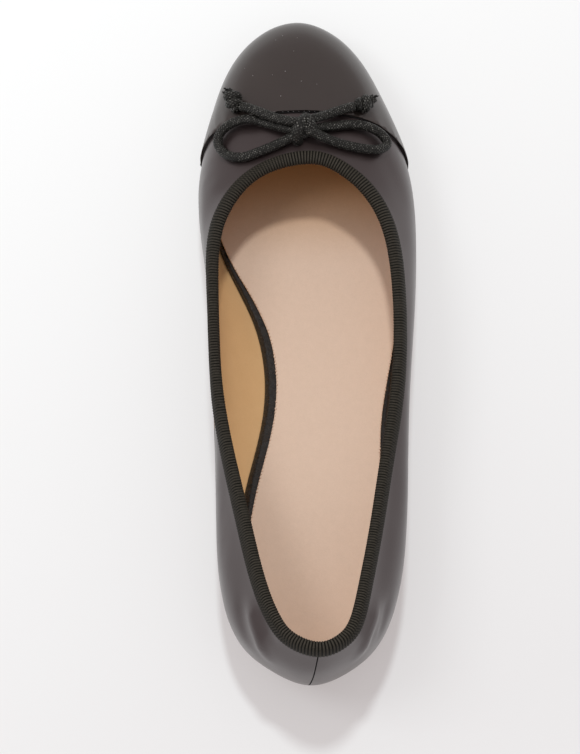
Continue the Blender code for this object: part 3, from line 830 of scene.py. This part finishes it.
def leather(name, look):
    material, tree, shader = nodesOf(name, look["color"], look["roughness"])
    shader.inputs["Coat Weight"].default_value = look["coat"]
    shader.inputs["Coat Roughness"].default_value = look["coatRoughness"]
    shader.inputs["Specular IOR Level"].default_value = look["specular"]
    shader.inputs["Specular Tint"].default_value = (*look["specularTint"], 1)
    place = addNode(tree, "ShaderNodeTexCoord")
    grain = addNode(tree, "ShaderNodeGroup", node_tree=grainGroup)
    grain.inputs["Grain"].default_value = look["grain"]
    grain.inputs["Mottle Scale"].default_value = look["mottleScale"]
    bump = addNode(tree, "ShaderNodeBump", Strength=look["bump"], Distance=look["deep"])
    tint = addNode(tree, "ShaderNodeMix", data_type="RGBA")
    tint.inputs["A"].default_value = (*look["color"], 1)
    tint.inputs["B"].default_value = (*look["lighter"], 1)
    rough = addNode(tree, "ShaderNodeMapRange")
    rough.inputs["To Min"].default_value = look["roughness"] - look["roughnessSpread"]
    rough.inputs["To Max"].default_value = look["roughness"] + look["roughnessSpread"]
    rough.inputs["From Min"].default_value = mottleRange[0]
    rough.inputs["From Max"].default_value = mottleRange[1]
    wire = tree.links.new
    wire(place.outputs["Object"], grain.inputs["Vector"])
    wire(grain.outputs["Height"], bump.inputs["Height"])
    share = addNode(tree, "ShaderNodeMix")
    share.inputs["Factor"].default_value = look["fleck"]
    wire(grain.outputs["Mottle"], share.inputs["A"])
    wire(grain.outputs["Fleck"], share.inputs["B"])
    wire(share.outputs["Result"], tint.inputs["Factor"])
    wire(grain.outputs["Mottle"], rough.inputs["Value"])
    wire(tint.outputs["Result"], shader.inputs["Base Color"])
    # painted shade: where a look asks for it, the base colour is multiplied towards a darker colour along y
    if "paintedToeShade" in look:
        parts = addNode(tree, "ShaderNodeSeparateXYZ")
        reach = addNode(tree, "ShaderNodeMapRange", interpolation_type="SMOOTHSTEP")
        reach.inputs["From Min"].default_value = look["paintedToeShadeFrom"]
        reach.inputs["From Max"].default_value = look["paintedToeShadeTo"]
        paintedToeShade = addNode(tree, "ShaderNodeMix", data_type="RGBA", blend_type="MULTIPLY")
        paintedToeShade.inputs["B"].default_value = (*look["paintedToeShade"], 1)
        wire(place.outputs["Object"], parts.inputs["Vector"])
        wire(parts.outputs["Y"], reach.inputs["Value"])
        wire(reach.outputs["Result"], paintedToeShade.inputs["Factor"])
        wire(tint.outputs["Result"], paintedToeShade.inputs["A"])
        wire(paintedToeShade.outputs["Result"], shader.inputs["Base Color"])
    wire(rough.outputs["Result"], shader.inputs["Roughness"])
    wire(bump.outputs["Normal"], shader.inputs["Normal"])
    return material


# "grain" and "mottleScale" are waves to a metre, "fleck" the share of the grain in the mottling
leatherLooks = {
    "blackLeather": {
        "color": (0.014, 0.0090, 0.0085), "lighter": (0.023, 0.0165, 0.0160), "fleck": 0.2,
        "roughness": 0.36, "roughnessSpread": 0.05, "coat": 0.35, "coatRoughness": 0.28,
        "specular": 0.80, "specularTint": (1.0, 0.86, 0.87),
        "grain": 1400.0, "mottleScale": 60.0, "bump": 0.10, "deep": 0.0001,
    },
    "capLeather": {
        "color": (0.016, 0.0115, 0.0095), "lighter": (0.025, 0.0185, 0.016), "fleck": 0.3,
        "roughness": 0.36, "roughnessSpread": 0.03, "coat": 0.50, "coatRoughness": 0.24,
        "specular": 0.5, "specularTint": (1.0, 0.90, 0.88),
        "grain": 1400.0, "mottleScale": 50.0, "bump": 0.06, "deep": 0.0001,
    },
    "tanLining": {
        "color": (0.600, 0.360, 0.165), "lighter": (0.700, 0.450, 0.225), "fleck": 0.5,
        "roughness": 0.70, "roughnessSpread": 0.05, "coat": 0.0, "coatRoughness": 0.3,
        "specular": 0.3, "specularTint": (1.0, 1.0, 1.0),
        "grain": 800.0, "mottleScale": 160.0, "bump": 0.15, "deep": 0.0001,
    },
    "nudeSock": {
        "color": (0.575, 0.432, 0.330), "lighter": (0.700, 0.540, 0.430), "fleck": 0.6,
        "roughness": 0.72, "roughnessSpread": 0.05, "coat": 0.0, "coatRoughness": 0.3,
        "specular": 0.3, "specularTint": (1.0, 1.0, 1.0),
        "grain": 900.0, "mottleScale": 420.0, "bump": 0.16, "deep": 0.0001,
        # painted shade: the sock darkens to warm brown towards the throat, for the shade under the vamp lit
        # by light bounced off the tan lining
        "paintedToeShade": (0.64, 0.45, 0.22), "paintedToeShadeFrom": 0.032, "paintedToeShadeTo": 0.076,  # towards the throat
    },
    "wrappedRim": {
        "color": (0.008, 0.007, 0.006), "lighter": (0.018, 0.016, 0.014), "fleck": 0.4,
        "roughness": 0.32, "roughnessSpread": 0.10, "coat": 0.60, "coatRoughness": 0.10,
        "specular": 0.3, "specularTint": (1.0, 1.0, 1.0),
        "grain": 480.0, "mottleScale": 300.0, "bump": 1.0, "deep": 0.0009,
    },
}
finishes = {name: leather(name, look) for name, look in leatherLooks.items()}


def reliefFinish(name, look):
    # painted shade and sheen: dark in the furrows of a braid or rib and lighter on its crowns, the crowns
    # broken into painted specks of sheen by fine yarn noise, which also bumps the whole surface
    material, tree, shader = nodesOf(name, look["furrow"], look["roughness"])
    shader.inputs["Specular IOR Level"].default_value = look["specular"]
    place = addNode(tree, "ShaderNodeTexCoord")
    relief = addNode(tree, "ShaderNodeAttribute", attribute_name="relief")
    yarn = addNode(tree, "ShaderNodeTexNoise", Scale=look["yarn"], Detail=3.0, Roughness=0.7)
    bump = addNode(tree, "ShaderNodeBump", Strength=look["bump"], Distance=bumpDistance)
    crown = addNode(tree, "ShaderNodeMapRange")
    crown.inputs["From Min"].default_value = look["from"]
    crown.inputs["From Max"].default_value = look["to"]
    speck = addNode(tree, "ShaderNodeMapRange")
    speck.inputs["From Min"].default_value = look["speckFrom"]
    speck.inputs["From Max"].default_value = look["speckTo"]
    speck.inputs["To Min"].default_value = look["dull"]
    both = addNode(tree, "ShaderNodeMath", operation="MULTIPLY")
    tint = addNode(tree, "ShaderNodeMix", data_type="RGBA")
    tint.inputs["A"].default_value = (*look["furrow"], 1)
    tint.inputs["B"].default_value = (*look["crown"], 1)
    wire = tree.links.new
    wire(place.outputs["Object"], yarn.inputs["Vector"])
    wire(yarn.outputs["Fac"], bump.inputs["Height"])
    wire(yarn.outputs["Fac"], speck.inputs["Value"])
    wire(relief.outputs["Fac"], crown.inputs["Value"])
    wire(crown.outputs["Result"], both.inputs[0])
    wire(speck.outputs["Result"], both.inputs[1])
    wire(both.outputs[0], tint.inputs["Factor"])
    wire(tint.outputs["Result"], shader.inputs["Base Color"])
    wire(bump.outputs["Normal"], shader.inputs["Normal"])
    return material


def plainFinish(name, look):
    material, tree, shader = nodesOf(name, look["color"], look["roughness"])
    shader.inputs["Specular IOR Level"].default_value = plainSpecular
    place = addNode(tree, "ShaderNodeTexCoord")
    speckle = addNode(tree, "ShaderNodeTexNoise", Scale=look["scale"], Detail=3.0)
    raised = addNode(tree, "ShaderNodeBump", Strength=look["bump"], Distance=bumpDistance)
    tree.links.new(place.outputs["Object"], speckle.inputs["Vector"])
    tree.links.new(speckle.outputs["Fac"], raised.inputs["Height"])
    tree.links.new(raised.outputs["Normal"], shader.inputs["Normal"])
    return material


def treadFinish(name, look):
    material, tree, shader = nodesOf(name, look["color"], look["roughness"])
    place = addNode(tree, "ShaderNodeTexCoord")
    wave = addNode(tree, "ShaderNodeTexWave", bands_direction="Y", wave_profile="TRI", Scale=look["scale"])
    wave.inputs["Distortion"].default_value = 0.0
    raised = addNode(tree, "ShaderNodeBump", Strength=look["bump"], Distance=look["deep"])
    tree.links.new(place.outputs["Object"], wave.inputs["Vector"])
    tree.links.new(wave.outputs["Fac"], raised.inputs["Height"])
    tree.links.new(raised.outputs["Normal"], shader.inputs["Normal"])
    return material


# furrow and crown colours paint the shade and sheen of the relief; on the cord the specks are painted glints
# of its wax
reliefLooks = {
    "waxedCord": {
        "furrow": (0.003, 0.003, 0.002), "crown": (0.240, 0.235, 0.215), "from": 0.62, "to": 1.0,
        "roughness": 0.45, "specular": 0.3, "yarn": 1300.0, "bump": 0.6,
        "dull": 0.04, "speckFrom": 0.48, "speckTo": 0.66,
    },
    "grosgrainTape": {
        "furrow": (0.002, 0.002, 0.001), "crown": (0.066, 0.058, 0.046), "from": 0.40, "to": 1.0,
        "roughness": 0.75, "specular": 0.15, "yarn": 2600.0, "bump": 0.5,
        "dull": 0.45, "speckFrom": 0.35, "speckTo": 0.70,
    },
}
plainSpecular = 0.3
plainLooks = {
    "soleRubber": {"color": (0.016, 0.015, 0.015), "roughness": 0.62, "scale": 1800.0, "bump": 0.25},
    # black thread for the tape's stitches, and painted shade for the cord along the cap's seam
    "blackThreadAndSeamShade": {"color": (0.006, 0.005, 0.005), "roughness": 0.6, "scale": 2500.0, "bump": 0.3},
    # pale beads for the painted glints along the cap's seam, and for the dust on the cap
    "paleGlintsAndDust": {"color": (0.42, 0.40, 0.40), "roughness": 0.4, "scale": 2500.0, "bump": 0.3},
    # the raw edge down the back seam, and painted shade on the cap's cut edge by the vamp
    "rawEdgeAndSeamShade": {"color": (0.004, 0.003, 0.003), "roughness": 0.9, "scale": 2500.0, "bump": 0.3},
}
treadLook = {"color": (0.014, 0.013, 0.013), "roughness": 0.6, "scale": 105.0, "bump": 0.8, "deep": 0.0005}
treadFacing = -0.8  # faces that look down more than this have the tread
for name, look in reliefLooks.items():
    finishes[name] = reliefFinish(name, look)
for name, look in plainLooks.items():
    finishes[name] = plainFinish(name, look)
finishes["soleTread"] = treadFinish("soleTread", treadLook)


def dress(obj, *names):
    obj.data.materials.clear()
    for name in names:
        obj.data.materials.append(finishes[name])


for piece in [p for p, line in cordPieces.values()] + [centreKnot] + list(knotPieces.values()):
    dress(piece, "waxedCord")
dress(upperPiece, "blackLeather", "tanLining", "rawEdgeAndSeamShade")
dress(capPiece, "capLeather", "rawEdgeAndSeamShade")
dress(capSeamShade, "blackThreadAndSeamShade")
dress(glintPiece, "paleGlintsAndDust")
dress(dustPiece, "paleGlintsAndDust")
dress(tapePiece, "grosgrainTape")
dress(stitchPiece, "blackThreadAndSeamShade")
dress(footbedPiece, "wrappedRim")
dress(sockPiece, "nudeSock")
dress(teethPiece, "nudeSock")
dress(solePiece, "soleRubber", "soleTread")
dress(heelPiece, "soleRubber", "soleTread")


def setSlots(mesh, slots):
    mesh.polygons.foreach_set("material_index", np.array(slots, np.int32))


def upperSlot(face, out):
    # leather outside, lining inside, and the raw edge down the seam at the back
    if face.normal.y < backSeam["raw"] and face.center.y < backSeam["behind"] * mm:
        if abs((face.center - seamTop).dot(seamAcross)) < backSeam["edge"] * mm:
            return 2
    return 0 if out else 1


faces = upperMesh.polygons
outside = facesOut(np.array([f.center for f in faces]), np.array([f.normal for f in faces]))
setSlots(upperMesh, [upperSlot(face, out) for face, out in zip(faces, outside)])
faces = capMesh.polygons
# painted shade: the cap's cut edge takes the dark finish only close to the vamp
setSlots(capMesh, [cutEdge(f.normal, f.center) and vampGap(f.center) < capSeam["dark"] for f in faces])
for mesh in (soleMesh, heelMesh):
    setSlots(mesh, [f.normal.z < treadFacing for f in mesh.polygons])
print("materials set")

# Floor and light
studio = {
    "reach": 4.0,
    "floor": (0.470, 0.505, 0.512),
    "roughness": 0.9,
    "paintedGlowNear": (0.318, 0.276, 0.270),  # painted light: the sweep glows a little by its own emission, more towards its far left, which also lightens and warms the shadows on it
    "paintedGlowFar": (0.460, 0.440, 0.432),
    "glowFrom": -0.16,
    "glowTo": 0.20,
    "glowAcross": -0.45,  # how much the glow's change runs across the floor for each metre along it
    "world": (0.600, 0.565, 0.565),
    "below": -0.0001,  # the floor lies this little under the sole
    "aim": (0, 0, 0.02),
}
lamps = {
    "keyLight": {
        "place": (-0.04, 2.48, 6.20),
        "size": 0.62,
        "power": 200.0,
        "color": (0.98, 1.0, 1.0),
        "glossy": False,
    },
    "sideLight": {
        "place": (-0.80, 0.10, 1.40),
        "size": 0.60,
        "power": 4.5,
        "color": (1.0, 0.98, 0.98),
        "glossy": True,
    },
}
shape = bmesh.new()
bmesh.ops.create_grid(shape, x_segments=1, y_segments=1, size=studio["reach"])
floorMesh = bpy.data.meshes.new("studioFloor")
shape.to_mesh(floorMesh)
shape.free()
floorObject = bpy.data.objects.new("studioFloor", floorMesh)
floorObject.location = (0, 0, studio["below"])
bpy.context.scene.collection.objects.link(floorObject)
floorFinish, floorTree, floorShader = nodesOf("paleFloor", studio["floor"], studio["roughness"])
# painted light: the floor's emission runs from one glow colour to the other across it
floorShader.inputs["Emission Strength"].default_value = 1.0
floorPlace = addNode(floorTree, "ShaderNodeTexCoord")
floorWay = addNode(floorTree, "ShaderNodeVectorMath", operation="DOT_PRODUCT")
floorWay.inputs[1].default_value = (studio["glowAcross"], 1.0, 0.0)
floorReach = addNode(floorTree, "ShaderNodeMapRange")
floorReach.inputs["From Min"].default_value = studio["glowFrom"]
floorReach.inputs["From Max"].default_value = studio["glowTo"]
paintedFloorGlow = addNode(floorTree, "ShaderNodeMix", data_type="RGBA")
paintedFloorGlow.inputs["A"].default_value = (*studio["paintedGlowNear"], 1)
paintedFloorGlow.inputs["B"].default_value = (*studio["paintedGlowFar"], 1)
floorTree.links.new(floorPlace.outputs["Object"], floorWay.inputs[0])
floorTree.links.new(floorWay.outputs["Value"], floorReach.inputs["Value"])
floorTree.links.new(floorReach.outputs["Result"], paintedFloorGlow.inputs["Factor"])
floorTree.links.new(paintedFloorGlow.outputs["Result"], floorShader.inputs["Emission Color"])
floorMesh.materials.append(floorFinish)

world = bpy.data.worlds.new("softStudio")
bpy.context.scene.world = world
world.use_nodes = True
world.node_tree.nodes["Background"].inputs["Color"].default_value = (*studio["world"], 1)
world.node_tree.nodes["Background"].inputs["Strength"].default_value = 1.0

for name, lamp in lamps.items():
    lampData = bpy.data.lights.new(name, "AREA")
    lampData.shape = "DISK"
    lampData.size = lamp["size"]
    lampData.energy = lamp["power"]
    lampData.color = lamp["color"]
    lampObject = bpy.data.objects.new(name, lampData)
    lampObject.visible_glossy = lamp["glossy"]
    lampObject.location = lamp["place"]
    way = Vector(studio["aim"]) - Vector(lamp["place"])
    lampObject.rotation_euler = way.to_track_quat("-Z", "Y").to_euler()
    bpy.context.scene.collection.objects.link(lampObject)
bpy.context.scene.view_settings.view_transform = "Standard"
print("studio lit")
